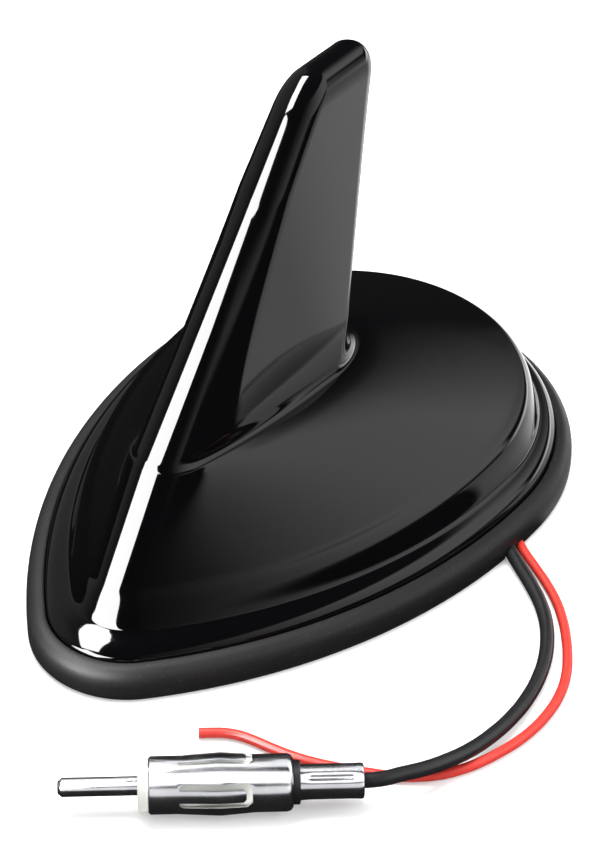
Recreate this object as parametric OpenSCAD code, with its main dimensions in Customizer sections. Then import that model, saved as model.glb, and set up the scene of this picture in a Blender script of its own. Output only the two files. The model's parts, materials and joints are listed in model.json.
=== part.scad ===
// Shark fin roof aerial for a car, with its cables and its aerial plug
// The nose points along -X, the roof is the plane z = 0, and +Z is up

/* [Housing] */
// Length of the gasket outline, nose to rear
base_l = 132; // [128:1:142]
// Width of the gasket outline
base_w = 92.4; // [89:0.2:99]
// Radius of the outline's nose
nose_r = 18.9; // [18:0.1:22]
// Wall of the housing
wall = 2.4; // [1.8:0.1:2.7]
// Height of the fin's top
fin_top = 90; // [86:0.5:96]
// Height at which the nose ridge turns into the fin's leading edge
kink_z = 34.6; // [33:0.2:37]
// Distance from the nose of the gasket to that kink
kink_run = 25.4; // [24.4:0.1:26.4]
// Length of the fin at its top
fin_top_l = 23.6; // [21.5:0.1:25.5]
// Distance from the rear of the gasket to the fin's top
fin_rear_in = 42.4; // [39:0.2:45]
// Width of the fin at its foot
fin_foot_w = 16; // [14:0.5:19]
// Width of the fin at its top
fin_top_w = 9; // [8.5:0.25:11]
// Height of the shoulder round the dome
shoulder_z = 18.4; // [17.4:0.2:19.4]
// Inset of the shoulder from the gasket outline
shoulder_in = 9.1; // [8.7:0.1:9.9]
// Height of the flange's top edge
flange_z = 10; // [9.4:0.1:10.6]
// Diameter of the housing's screw bosses
boss_d = 6.4; // [5.6:0.2:8]

/* [Gasket and pad] */
// Height of the gasket's outer lip
gasket_h = 6.3; // [5.6:0.1:6.6]
// Width of the lip, from the outline to the housing
lip_w = 3.5; // [3.1:0.1:3.8]
// Thickness of the gasket under the housing
gasket_floor = 3.2; // [3:0.1:3.6]
// Inset of the gasket's inner edge from the outline
gasket_in = 9.4; // [8.8:0.1:10.2]
// Thickness of the adhesive pad
pad_t = 1.2; // [0.8:0.1:1.5]

/* [Base plate] */
// Thickness of the plate's rim
rim_t = 2; // [1.6:0.1:2.6]
// Height of the board's standoffs above the plate's floor
standoff_h = 4; // [3.6:0.2:5]
// Outer diameter of the threaded insert
insert_d = 7; // [6.4:0.1:8]
// Thread diameter of the insert
insert_thread_d = 5; // [4:0.5:5.5]
// Length of the threaded insert
insert_l = 5; // [4:0.1:5.2]

/* [Boards] */
// Thickness of the main circuit board
board_t = 1.6; // [1:0.1:2]
// Gap between the main board and the bosses at its ends
board_end_gap = 6.8; // [5:0.2:9]
// Width of the main circuit board
board_w = 30; // [29:0.5:34]
// Thickness of the upright mast board
mast_t = 1.2; // [0.8:0.1:1.6]
// Gap between the mast board's top edge and the fin's top
mast_top_gap = 14; // [13:0.5:30]

/* [Cables] */
// Diameter of the coaxial cable
coax_d = 2.6; // [2.2:0.1:2.7]
// Diameter of the power wire
power_d = 1.8; // [1.4:0.1:1.9]

/* [Plug] */
// Diameter of the plug's pin
pin_d = 3.2; // [2.6:0.1:3.6]
// Diameter of the pin's shank in the insulator
shank_d = 2.4; // [2:0.1:2.6]
// Length of the pin outside the insulator
pin_l = 13.3; // [12:0.1:15]
// Diameter of the plug's shell
shell_d = 9.6; // [9:0.1:10]
// Length of the shell
shell_l = 24; // [23:0.5:28]
// Diameter of the crimped ferrule
ferrule_d = 6; // [5.2:0.1:6.4]
// Length of the ferrule outside the shell
ferrule_l = 10.6; // [9:0.1:13]

/* [Hidden] */
e = 0.01;
seat_gap = 0.1;
slide_gap = 0.3;

// Outline of the base: nose arc, two side arcs and a rear half-circle
rear_r = base_w / 2;
nose_x = -base_l / 2;
rear_x = base_l / 2;

// Side view of the fin: the ridge line, the leading edge and the trailing edge
crown_h = 5.6;
fin_shoulder_z = fin_top - crown_h;
ridge_foot = [nose_x + 8.9, 8.8];
kink = [nose_x + kink_run, kink_z];
trail_top_x = rear_x - fin_rear_in;
lead_run = (trail_top_x - fin_top_l - kink[0]) / (fin_shoulder_z - kink_z);
trail_run = 0.2125;
// The sides are flat behind a rounded prow, which is longer lower down
prow_top = 2.2;
prow_run = 0.257;
fin_rear_r = 4.4;

function mix(a, b, t) = a + (b - a) * t;
function mix_all(a, b, t) = [for (i = [0 : len(a) - 1]) mix(a[i], b[i], t)];
function lead_x(z) = z < kink_z ? mix(ridge_foot[0], kink[0], (z - ridge_foot[1]) / (kink_z - ridge_foot[1]))
                                : kink[0] + (z - kink_z) * lead_run;
function trail_x(z) = trail_top_x + (z - fin_shoulder_z) * trail_run;

// A level is [nose x, rear x, width, nose radius, rear arc length, nose z, rear z, length of its flat sides]
function base_level(inset, zf, zr, nose_in) =
    [nose_x + (is_undef(nose_in) ? inset : nose_in), rear_x - inset, base_w - 2 * inset,
     nose_r - inset, rear_r - inset, zf, zr, 0];
function ridge_level(inset, zf, zr) = base_level(inset, zf, zr, lead_x(zf) - nose_x);
// Sizes of the fillet between fin and dome: at the sides, the rear and the nose, and in the rear arc
fillet_side = 2.8;
fillet_rear = 10;
fillet_nose = 1.6;
fillet_arc = 17.5;
// A level of the fin; flare goes from 0 on the fin to 1 at the foot of its fillet
function fin_level(zf, zr, flare = 0) =
    let (h = (zf + zr) / 2, down = max(0, (fin_top - 4 - h) / (fin_top - 34)),
         prow = prow_top + prow_run * (fin_shoulder_z - h))
    [lead_x(zf), trail_x(zr) + fillet_rear * flare,
     mix(fin_top_w, fin_foot_w, pow(down, 1.2)) + 2 * fillet_side * flare,
     3.4 + 2.4 * down + fillet_nose * flare, fin_rear_r + fillet_arc * flare, zf, zr,
     (trail_x(zr) - fin_rear_r - lead_x(zf) - prow) * pow(1 - flare, 2)];

lip_in = lip_w + seat_gap;
flange_levels = [base_level(lip_in, gasket_floor, gasket_floor),
                 base_level(lip_in, gasket_h, flange_z - 2.6),
                 base_level(lip_in + 0.5, flange_z - 3, flange_z - 1.3, lip_in + 0.8),
                 base_level(lip_in + 1.3, flange_z - 2.3, flange_z - 0.4, lip_in + 2.1),
                 base_level(lip_in + 2.2, flange_z - 1.8, flange_z, lip_in + 3.7)];
wall_levels = [base_level(lip_in + 3.4, flange_z - 1.3, flange_z + 0.2, lip_in + 5.1),
               ridge_level(shoulder_in - 1.6, flange_z - 0.6, flange_z + 1.2),
               ridge_level(shoulder_in - 0.6, shoulder_z - 7.2, shoulder_z - 3),
               ridge_level(shoulder_in, shoulder_z - 6.2, shoulder_z - 1.4),
               ridge_level(shoulder_in + 1, shoulder_z - 5.2, shoulder_z - 0.3)];
shoulder_level = ridge_level(shoulder_in + 2.6, shoulder_z - 4, shoulder_z + 0.3);
foot_front_z = kink_z - 1.2;
foot_rear_z = shoulder_z + 11.6;
foot_level = fin_level(foot_front_z, foot_rear_z, 1);
dome_steps = 7;
dome_levels = [for (i = [0 : dome_steps])
    let (t = i / dome_steps, plan = mix_all(foot_level, shoulder_level, pow(1 - t, 0.88)),
         zf = mix(shoulder_level[5], foot_front_z, t), zr = mix(shoulder_level[6], foot_rear_z, t))
    [lead_x(zf), plan[1], mix(foot_level[2], shoulder_level[2], pow(1 - t, 0.68)), plan[3], plan[4], zf, zr, 0]];
fillet_steps = 5;
fillet_levels = [for (i = [1 : fillet_steps])
    let (a = 90 * i / fillet_steps)
    fin_level(foot_front_z + 1.6 * (1 - cos(a)), foot_rear_z + 9.5 * (1 - cos(a)), 1 - sin(a))];
fin_steps = 6;
fin_start = fillet_levels[fillet_steps - 1];
fin_levels = [for (i = [1 : fin_steps])
    let (t = i / fin_steps)
    fin_level(mix(fin_start[5], fin_shoulder_z, t), mix(fin_start[6], fin_shoulder_z, t))];
// The crown closes the fin by steps of a quarter round, and leans back with the leading edge
crown_steps = 6;
crown_levels = [for (i = [1 : crown_steps])
    let (a = 84 * i / crown_steps, rise = crown_h * sin(a), in = 1 - cos(a), lean = 1.05 * lead_run * rise)
    fin_levels[fin_steps - 1] + [lean + 3.2 * in, trail_run * rise - 4 * in, -6.5 * in, -2.5 * in, -3.3 * in,
                                 0.97 * rise, rise, trail_run * rise - lean - 4 * in]];
housing_levels = concat(flange_levels, wall_levels, dome_levels, fillet_levels, fin_levels, crown_levels);

// The cavity follows the same levels, one wall inside
function inside(l, slope = 1.3) =
    [l[0] + slope * wall, l[1] - wall, l[2] - 2 * wall, max(0.8, l[3] - wall), l[4] - wall,
     l[5] - wall, l[6] - wall, l[7]];
cavity_levels = concat(
    [inside(base_level(lip_in, gasket_floor, gasket_floor), 1),
     inside(flange_levels[1], 1), inside(flange_levels[4], 1), inside(wall_levels[1], 1.2),
     inside(wall_levels[3], 1.2)],
    [for (i = [0 : 2 : dome_steps]) inside(dome_levels[i])],
    [inside(dome_levels[dome_steps])], [for (l = fillet_levels) inside(l)],
    [for (i = [1 : 2 : fin_steps - 1]) inside(fin_levels[i])]);
housing_sides = 64;
cavity_sides = 40;

// Screws that hold the housing on the plate
front_screw_x = nose_x + 24;
rear_screw_x = rear_x - 20;
side_screw_x = rear_x - 70;
side_screw_y = rear_r - 19.2;
housing_screw_at = [[front_screw_x, 0], [rear_screw_x, 0], [side_screw_x, side_screw_y],
                    [side_screw_x, -side_screw_y]];
boss_h = 24;
screw_core_d = 2.3;
screw_head_d = 5;
screw_head_h = 1;
screw_bite = 7;

// The plate is a pan: a floor inside the gasket, and a rim that lies on the gasket's floor.
// The cavity slopes in at the nose, and the rim stops short of that slope
nose_slope_gap = 2.4;
plate_rim_in = lip_in + wall + slide_gap + nose_slope_gap;
plate_floor_in = gasket_in + slide_gap;
plate_pan_in = plate_floor_in + 2;
pad_in = plate_floor_in + 1;
plate_floor_t = gasket_floor - pad_t;

// The board stands on the plate's standoffs
board_z = gasket_floor + standoff_h;
board_top = board_z + board_t;
board_front = front_screw_x + boss_d / 2 + board_end_gap;
board_rear = rear_screw_x - boss_d / 2 - board_end_gap;
board_l = board_rear - board_front;
board_x = (board_front + board_rear) / 2;
board_screw_d = 2;
standoff_d = 4.6;
board_screw_x = board_l / 2 - 5;
board_screw_at = [[board_x - board_screw_x, 8.5], [board_x - board_screw_x, -8.5],
                  [board_x + board_screw_x, 11.5], [board_x + board_screw_x, -11.5]];
insert_x = board_x - 12;
mast_front = kink[0] + 17;
mast_rear = trail_top_x - 16.1;
mast_top = fin_top - mast_top_gap;
mast_clear = 6;
mast_back = 5;

// Cables: where they leave the gasket, and the way they point there
exit_turn = atan2(-0.8, -0.6);
// Places along the cables are given for the base's real length and width, and shift with its side
side_shift = [(base_l - 132) / 2, (92.4 - base_w) / 2, 0];
function shifted(route) = [for (p = route) p + side_shift];
coax_exit = side_shift + [10.5, -45, 1.4];
power_exit = side_shift + [13.65, -45.2, 1];
coax_x = side_shift[0] + 16.7;
power_x = side_shift[0] + 20.3;
window_x = (coax_x + power_x) / 2;
window_w = 8;
clamp_y = side_shift[1] - 22;
window_y = [clamp_y - 22, clamp_y - 3];
clamp_l = 4;
clamp_h = 4;
clamp_reach = 7.4;
clamp_screw_d = 2;
clamp_screw_gap = 5.4;
cable_sides = 8;
// The plug lies on the roof's plane, and its axis is turned in plan
plug_at = side_shift + [-58, -58, 5.3];
plug_turn = atan2(0.796, -0.606);
plug_grip = 8;
coax_end = plug_at + plug_grip * [cos(plug_turn), sin(plug_turn), 0];
coax_route = concat([coax_exit], shifted([
              [9, -47, 1.4], [7, -49.7, 1.4], [4.1, -53.6, 1.4], [0.9, -57.4, 1.4],
              [-2.8, -60.8, 1.4], [-6.5, -63.3, 1.4], [-10.8, -65.5, 1.4], [-16.1, -67.3, 1.4],
              [-21.8, -68.4, 1.5], [-27.8, -68.8, 1.8], [-33.9, -68.5, 2.3], [-39.8, -67.6, 3],
              [-44.8, -66.2, 3.8], [-49.3, -64.3, 4.5], [-53.1, -62, 5], [-55.8, -60.3, 5.25]]),
              [plug_at, coax_end]);
power_route = concat([power_exit], shifted([
               [11.7, -47.8, 1], [9.3, -51.4, 1], [6.3, -55.8, 1], [3.1, -59.7, 1],
               [-0.5, -63.1, 1], [-4.3, -66, 1], [-8.2, -68.5, 1], [-12.9, -70.9, 1], [-17.8, -72.4, 1],
               [-22.7, -73, 1], [-27.3, -72.9, 1], [-31.7, -72.2, 1], [-35.8, -71, 1],
               [-39.5, -69.6, 1], [-42.9, -67.8, 1], [-45.9, -65.6, 1], [-48.5, -62.8, 1],
               [-50.8, -59.4, 1], [-52.7, -55.4, 1], [-54.5, -51, 1], [-56.1, -46.4, 1],
               [-57, -42.6, 1], [-57.5, -38.8, 1], [-57.8, -35.4, 1], [-58.3, -32.4, 1],
               [-59.3, -30, 1], [-60.5, -28.2, 1], [-61.9, -26.4, 1]]));
floor_coax_z = gasket_floor + coax_d / 2 + seat_gap;
floor_power_z = gasket_floor + power_d / 2 + seat_gap;
top_coax_z = board_top + coax_d / 2 + seat_gap;
top_power_z = board_top + power_d / 2 + seat_gap;
coax_tail_route = [coax_exit, coax_exit + [2.4, 3.2, 0], coax_exit + [4.8, 6.4, 0],
                   [coax_x - 0.2, clamp_y - 13.6, 1.5], [coax_x, clamp_y - 10.6, 2.4],
                   [coax_x, clamp_y - 7.4, 3.7], [coax_x, clamp_y - 4.2, floor_coax_z],
                   [coax_x, clamp_y, floor_coax_z], [coax_x, clamp_y + 2.8, floor_coax_z],
                   [coax_x, clamp_y + 5.4, floor_coax_z + 1.3], [coax_x, clamp_y + 8.4, top_coax_z - 1.6],
                   [coax_x, clamp_y + 11.2, top_coax_z], [coax_x, clamp_y + 18, top_coax_z]];
power_tail_route = [power_exit, power_exit + [2.4, 3.2, 0], power_exit + [4.8, 6.4, 0],
                    [power_x - 0.4, clamp_y - 14, 1.2], [power_x, clamp_y - 11, 2.2],
                    [power_x, clamp_y - 8, 3.4], [power_x, clamp_y - 4.2, floor_power_z],
                    [power_x, clamp_y, floor_power_z], [power_x, clamp_y + 2.8, floor_power_z],
                    [power_x, clamp_y + 5.4, floor_power_z + 1.4], [power_x, clamp_y + 8.4, top_power_z - 1.5],
                    [power_x, clamp_y + 11.2, top_power_z], [power_x, clamp_y + 18, top_power_z]];

// Points round one level's outline: rear arc, flat side, side arc and nose arc
function level_ring(l, sides) =
    let (q = sides / 4, big = l[2] / 2, r = min(l[3], big - 0.05), cx = l[1] - l[4],
         flat = max(0, min(l[7], cx - l[0] - big - 0.05)), d = cx - flat - l[0] - r,
         side = (d * d + big * big - r * r) / (2 * (big - r)), cy = big - side, turn = atan2(-cy, -d),
         bow = side * (turn - 90) * PI / 180, k = min(q - 1, round(q * flat / (flat + bow))),
         half = concat(
             [for (i = [0 : q - 1]) [cx + l[4] * cos(90 * i / q), big * sin(90 * i / q)]],
             [for (i = [0 : 1 : k - 1]) [cx - flat * i / k, big]],
             [for (i = [k : q - 1]) let (a = mix(90, turn, (i - k) / (q - k)))
                 [cx - flat + side * cos(a), cy + side * sin(a)]],
             [for (i = [0 : q]) let (a = mix(turn, 180, i / q)) [cx - flat - d + r * cos(a), r * sin(a)]]),
         ring = concat(half, [for (i = [len(half) - 2 : -1 : 1]) [half[i][0], -half[i][1]]]))
    [for (p = ring) [p[0], p[1], mix(l[5], l[6], (p[0] - l[0]) / (l[1] - l[0]))]];

// Side faces between neighbouring rings; the last ring joins the first where the loft is a loop
function skin_faces(m, n, loop = false) =
    [for (k = [0 : m - (loop ? 1 : 2)]) for (i = [0 : n - 1]) for (half = [0, 1])
        let (a = k * n + i, b = k * n + (i + 1) % n, c = ((k + 1) % m) * n + i, d = ((k + 1) % m) * n + (i + 1) % n)
        half == 0 ? [a, c, d] : [a, d, b]];

// A closed skin over rings of points, from the first to the last
module loft(rings) {
    n = len(rings[0]);
    m = len(rings);
    polyhedron(
        points = [for (ring = rings) for (p = ring) p],
        faces = concat([[for (i = [0 : n - 1]) i]], [[for (i = [n - 1 : -1 : 0]) (m - 1) * n + i]],
                       skin_faces(m, n)),
        convexity = 8);
}

// A round cable swept along its route
function unit(v) = v / norm(v);
function way(path, i) = unit(path[min(i + 1, len(path) - 1)] - path[max(i - 1, 0)]);
module cable(path, d) {
    loft([for (i = [0 : len(path) - 1])
        let (w = way(path, i), side = unit(cross(w, [0, 0, 1])), up = cross(side, w))
        [for (j = [0 : cable_sides - 1])
            let (a = 360 * j / cable_sides) path[i] + d / 2 * (cos(a) * side + sin(a) * up)]]);
}

// The base outline with true arcs, at an inset
module base_outline(inset) {
    far = base_l - rear_r - nose_r;
    side = (far * far + rear_r * rear_r - nose_r * nose_r) / (2 * (rear_r - nose_r));
    cx = rear_x - rear_r;
    cy = side - rear_r;
    turn = atan2(cy, -far);
    tip_x = cx - far + (nose_r - inset) * cos(turn);
    translate([cx, 0]) circle(r = rear_r - inset, $fn = 96);
    translate([cx - far, 0]) circle(r = nose_r - inset, $fn = 96);
    intersection() {
        translate([cx, -cy]) circle(r = side - inset, $fn = 96);
        translate([cx, cy]) circle(r = side - inset, $fn = 96);
        translate([tip_x, -rear_r]) square([cx - tip_x, 2 * rear_r]);
    }
}

module base_slab(inset, z, h) {
    translate([0, 0, z]) linear_extrude(h) base_outline(inset);
}

// A slot with round ends, along Y
module round_slot(w, l, h) {
    linear_extrude(h) {
        translate([0, w / 2]) circle(d = w, $fn = 32);
        translate([0, l - w / 2]) circle(d = w, $fn = 32);
        translate([-w / 2, w / 2]) square([w, l - w]);
    }
}

// Moulded cover: flange, wall, dome and fin in one skin, with four screw bosses inside
module fin_housing() {
    color("#141416") difference() {
        loft([for (l = housing_levels) level_ring(l, housing_sides)]);
        difference() {
            loft([for (l = cavity_levels) level_ring(l, cavity_sides)]);
            for (p = housing_screw_at)
                translate([p[0], p[1], gasket_floor + seat_gap]) cylinder(d = boss_d, h = boss_h, $fn = 32);
        }
        for (p = housing_screw_at)
            translate([p[0], p[1], 0])
                cylinder(d = screw_core_d + seat_gap, h = gasket_floor + screw_bite + 1, $fn = 24);
    }
}

// Section of the rubber rim, as [inset, height] pairs round it
gasket_section = [[0.7, 0], [0.2, 0.3], [0, 0.9], [0, 2.4], [0.1, 3.6], [0.5, 4.8], [1.2, gasket_h - 0.7],
                  [2, gasket_h - 0.2], [lip_w - 0.2, gasket_h], [lip_w, gasket_h - 0.3], [lip_w, gasket_floor],
                  [gasket_in, gasket_floor], [gasket_in, 0]];

// Straight channel round one cable, open to the roof
module cable_channel(at, d) {
    translate([at[0], at[1], 0]) rotate([0, 0, exit_turn + 180]) {
        translate([-6, 0, at[2]]) rotate([0, 90, 0]) cylinder(d = d + 2 * seat_gap, h = 22, $fn = 24);
        translate([-6, -d / 2 - seat_gap, -1]) cube([22, d + 2 * seat_gap, 1 + at[2]]);
    }
}

module rim_gasket() {
    rings = [for (s = gasket_section)
        [for (p = level_ring(base_level(s[0], 0, 0), 72)) [p[0], p[1], s[1]]]];
    n = len(rings[0]);
    m = len(rings);
    color("#26262a") difference() {
        polyhedron(points = [for (ring = rings) for (p = ring) p], faces = skin_faces(m, n, true), convexity = 8);
        cable_channel(coax_exit, coax_d);
        cable_channel(power_exit, power_d);
    }
}

// Room for the cables to climb through the pad and the plate's floor
module cable_window(z, h) {
    translate([window_x, window_y[0], z]) round_slot(window_w, window_y[1] - window_y[0], h);
}

module adhesive_pad() {
    color("#c9c9c4") difference() {
        base_slab(pad_in, 0, pad_t);
        cable_window(-e, pad_t + 2 * e);
        translate([insert_x, 0, -e]) cylinder(d = insert_d + 3, h = pad_t + 2 * e, $fn = 48);
    }
}

// Pan-shaped plate with standoffs, an insert boss and counterbores from below
module base_plate() {
    color("#1f1f22") difference() {
        union() {
            base_slab(plate_floor_in, pad_t, plate_floor_t);
            difference() {
                base_slab(plate_rim_in, gasket_floor, rim_t);
                base_slab(plate_pan_in, gasket_floor - 1, rim_t + 2);
            }
            for (p = board_screw_at)
                translate([p[0], p[1], pad_t]) cylinder(d = standoff_d, h = board_z - pad_t, $fn = 32);
            translate([insert_x, 0, pad_t]) cylinder(d = insert_d + 4, h = insert_l, $fn = 48);
        }
        translate([insert_x, 0, 0]) cylinder(d = insert_d, h = 12, $fn = 48);
        for (p = housing_screw_at) translate([p[0], p[1], 0]) {
            cylinder(d = screw_core_d + 0.5, h = 12, $fn = 24);
            cylinder(d = screw_head_d + 0.4, h = pad_t + screw_head_h + seat_gap, $fn = 32);
        }
        for (p = board_screw_at)
            translate([p[0], p[1], pad_t + 1]) cylinder(d = board_screw_d + seat_gap, h = 12, $fn = 24);
        for (side = [-1, 1])
            translate([window_x + side * clamp_screw_gap, clamp_y, 0])
                cylinder(d = clamp_screw_d + seat_gap, h = 12, $fn = 24);
        difference() {
            cable_window(0, 12);
            base_slab(0, gasket_floor, 12 - gasket_floor);
        }
        intersection() {
            cable_window(0, 12);
            base_slab(plate_floor_in, 0, 12);
        }
    }
}

// Brass insert for the roof bolt, with a retaining groove
module threaded_insert() {
    color("#b08d3c") translate([insert_x, 0, pad_t]) difference() {
        cylinder(d = insert_d, h = insert_l, $fn = 48);
        translate([0, 0, -1]) cylinder(d = insert_thread_d - 0.8, h = insert_l + 2, $fn = 48);
        translate([0, 0, insert_l / 2 - 0.4]) difference() {
            cylinder(d = insert_d + 1, h = 0.8, $fn = 48);
            translate([0, 0, -1]) cylinder(d = insert_d - 0.6, h = 3, $fn = 48);
        }
    }
}

// Pan-head screw standing on its head's seat, thread along +Z
module screw(head_d, head_h, core_d, l) {
    difference() {
        translate([0, 0, -head_h]) cylinder(d = head_d, h = head_h, $fn = 32);
        for (turn = [0, 90])
            rotate([0, 0, turn]) translate([-head_d * 0.28, -0.3, -head_h - 1]) cube([head_d * 0.56, 0.6, 1.5]);
    }
    translate([0, 0, -e]) cylinder(d = core_d, h = l + e, $fn = 24);
}

module housing_screws() {
    color("#8d9094") for (p = housing_screw_at)
        translate([p[0], p[1], pad_t + screw_head_h + seat_gap])
            screw(screw_head_d, screw_head_h, screw_core_d, gasket_floor + screw_bite - pad_t - screw_head_h);
}

module circuit_board() {
    color("#1d4a2c") translate([board_front, -board_w / 2, board_z]) difference() {
        linear_extrude(board_t) polygon([[0, 5], [10, 0], [board_l, 0], [board_l, board_w], [10, board_w],
                                         [0, board_w - 5]]);
        translate([window_x - board_front - clamp_reach - 1, -1, -1])
            cube([2 * clamp_reach + 2, max(1, board_w / 2 + clamp_y + 13.4), board_t + 2]);
        for (p = board_screw_at)
            translate([p[0] - board_front, p[1] + board_w / 2, -1])
                cylinder(d = board_screw_d + 0.4, h = board_t + 2, $fn = 24);
    }
}

module board_screws() {
    color("#a9abad") for (p = board_screw_at)
        translate([p[0], p[1], board_top]) rotate([180, 0, 0])
            screw(board_screw_d * 1.9, 1.3, board_screw_d, board_t + standoff_h);
}

// Upright aerial board in the fin, cut along the leading and trailing edges
mast_corner_z = kink_z + (mast_front - mast_clear - kink[0]) / lead_run;
mast_rear_z = fin_shoulder_z + (mast_rear + mast_back - trail_top_x) / trail_run;
module mast_board() {
    color("#235c36") translate([0, mast_t / 2, 0]) rotate([90, 0, 0]) linear_extrude(mast_t)
        polygon([[mast_front, board_top], [mast_rear, board_top], [mast_rear, mast_rear_z],
                 [trail_x(mast_top) - mast_back, mast_top], [lead_x(mast_top) + mast_clear, mast_top],
                 [mast_front, mast_corner_z]]);
}

can_size = [16, 11, 4];
can_at = [board_rear - can_size[0], clamp_y + 20 + can_size[1] / 2];
can_t = 0.4;
module shield_can() {
    color("#b9bcc0") translate([can_at[0] - can_size[0] / 2, can_at[1] - can_size[1] / 2, board_top])
        difference() {
            cube(can_size);
            translate([can_t, can_t, -1]) cube([can_size[0] - 2 * can_t, can_size[1] - 2 * can_t,
                                                can_size[2] - can_t + 1]);
            for (x = [4, 8, 12]) for (y = [3.5, 7.5])
                translate([x, y, 1]) cylinder(d = 1.2, h = can_size[2], $fn = 16);
        }
}

module amplifier_chip() {
    color("#202024") translate([can_at[0], can_at[1], board_top]) {
        translate([-2.5, -2, 0.2]) cube([5, 4, 1.3]);
        for (side = [-1, 1]) for (x = [-1.9 : 1.27 : 1.95])
            translate([x - 0.2, side > 0 ? 2 - e : -3 + e, 0]) cube([0.4, 1, 0.5]);
    }
}

module supply_capacitor() {
    color("#2b3550") translate([board_front + 19, board_w / 2 - 5.5, board_top]) difference() {
        union() {
            cylinder(d = 5, h = 7, $fn = 40);
            translate([-2.7, -2.7, 0]) cube([5.4, 5.4, 0.8]);
        }
        translate([0, 0, 1.6]) difference() {
            cylinder(d = 6, h = 0.5, $fn = 40);
            translate([0, 0, -1]) cylinder(d = 4.5, h = 3, $fn = 40);
        }
    }
}

module supply_choke() {
    color("#4a3a33") translate([board_front + 25.6, board_w / 2 - 3.4, board_top]) {
        cylinder(d = 6, h = 0.9, $fn = 40);
        cylinder(d = 4.4, h = 4, $fn = 40);
        translate([0, 0, 3.1]) cylinder(d = 6, h = 0.9, $fn = 40);
    }
}

// Ferrite rod that lies along X on two feet, with its winding
coil_at = [board_front + 17, 5.5 - board_w / 2];
coil_l = 14;
core_d = 3;
wire_d = 0.6;
coil_turns = 14;
coil_z = board_top + core_d / 2 + 1.2;
module coil_core() {
    color("#3b3b3e") translate([coil_at[0], coil_at[1], 0]) {
        translate([-coil_l / 2, 0, coil_z]) rotate([0, 90, 0]) cylinder(d = core_d, h = coil_l, $fn = 32);
        for (side = [-1, 1])
            translate([side * (coil_l / 2 - 0.8) - 0.8, -1.2, board_top]) cube([1.6, 2.4, coil_z - board_top]);
    }
}

module loading_coil() {
    pitch = (coil_l - 4.4) / coil_turns;
    color("#b5652a") translate([coil_at[0] - coil_l / 2 + 2.2, coil_at[1], coil_z]) rotate([0, 90, 0])
        rotate_extrude($fn = 40) {
            translate([core_d / 2, 0]) square([wire_d / 2, coil_turns * pitch]);
            for (i = [0 : coil_turns - 1])
                translate([core_d / 2 + wire_d / 2, (i + 0.5) * pitch]) circle(d = wire_d, $fn = 16);
        }
}

// Saddle across both cables, screwed to the plate's floor
module cable_clamp() {
    color("#2a2a2e") difference() {
        translate([window_x - clamp_reach, clamp_y - clamp_l / 2, gasket_floor])
            cube([2 * clamp_reach, clamp_l, clamp_h]);
        for (c = [[coax_x, coax_d, floor_coax_z], [power_x, power_d, floor_power_z]]) {
            translate([c[0], clamp_y - clamp_l, c[2]]) rotate([-90, 0, 0])
                cylinder(d = c[1] + 2 * seat_gap, h = 2 * clamp_l, $fn = 24);
            translate([c[0] - c[1] / 2 - seat_gap, clamp_y - clamp_l, 0])
                cube([c[1] + 2 * seat_gap, 2 * clamp_l, c[2]]);
        }
        for (side = [-1, 1])
            translate([window_x + side * clamp_screw_gap, clamp_y, 0])
                cylinder(d = clamp_screw_d + 0.4, h = 12, $fn = 24);
    }
}

module clamp_screws() {
    color("#a9abad") for (side = [-1, 1])
        translate([window_x + side * clamp_screw_gap, clamp_y, gasket_floor + clamp_h]) rotate([180, 0, 0])
            screw(clamp_screw_d * 1.8, 1.2, clamp_screw_d, clamp_h + plate_floor_t - 0.3);
}

module coax_tail() { color("#1b1b1d") cable(coax_tail_route, coax_d); }
module power_tail() { color("#d8392f") cable(power_tail_route, power_d); }
module coax_lead() { color("#1b1b1d") cable(coax_route, coax_d); }
module power_lead() { color("#d8392f") cable(power_route, power_d); }

// The plug's own frame: its axis is +X, and the ferrule's open end is at 0
shell_x = ferrule_l + 1.2;
shell_end = shell_x + shell_l;
insulator_end = shell_end + 1.6;
shell_t = 0.5;
shell_bulge = 0.42;
core_r = shell_d / 2 - shell_t - seat_gap;
ferrule_deep = 3;
module in_plug_frame() {
    translate(plug_at) rotate([0, 0, plug_turn]) rotate([0, 90, 0]) children();
}

module plug_pin() {
    color("#c3c6ca") in_plug_frame() rotate_extrude($fn = 48)
        polygon([[0, shell_end - 8], [shank_d / 2, shell_end - 8], [shank_d / 2, insulator_end],
                 [pin_d / 2, insulator_end], [pin_d / 2, insulator_end + pin_l - 0.7],
                 [pin_d / 2 - 0.6, insulator_end + pin_l], [0, insulator_end + pin_l]]);
}

module plug_insulator() {
    color("#e9e6da") in_plug_frame() difference() {
        union() {
            translate([0, 0, shell_x + ferrule_deep]) cylinder(r = core_r, h = shell_l - ferrule_deep, $fn = 48);
            translate([0, 0, shell_end]) cylinder(d = shell_d - 0.6, h = insulator_end - shell_end, $fn = 48);
        }
        translate([0, 0, shell_end - 8]) cylinder(d = shank_d, h = 20, $fn = 48);
    }
}

// Spring tongue windows round the shell, tongues held at the front
window_len = shell_l / 2;
tongue_w = 2.2;
module shell_window() {
    translate([0, 0, shell_x + shell_l * 0.28]) difference() {
        translate([-2.1, 2, 0]) cube([4.2, 5, window_len]);
        translate([-tongue_w / 2, 1, 1]) cube([tongue_w, 7, window_len]);
    }
}

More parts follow.
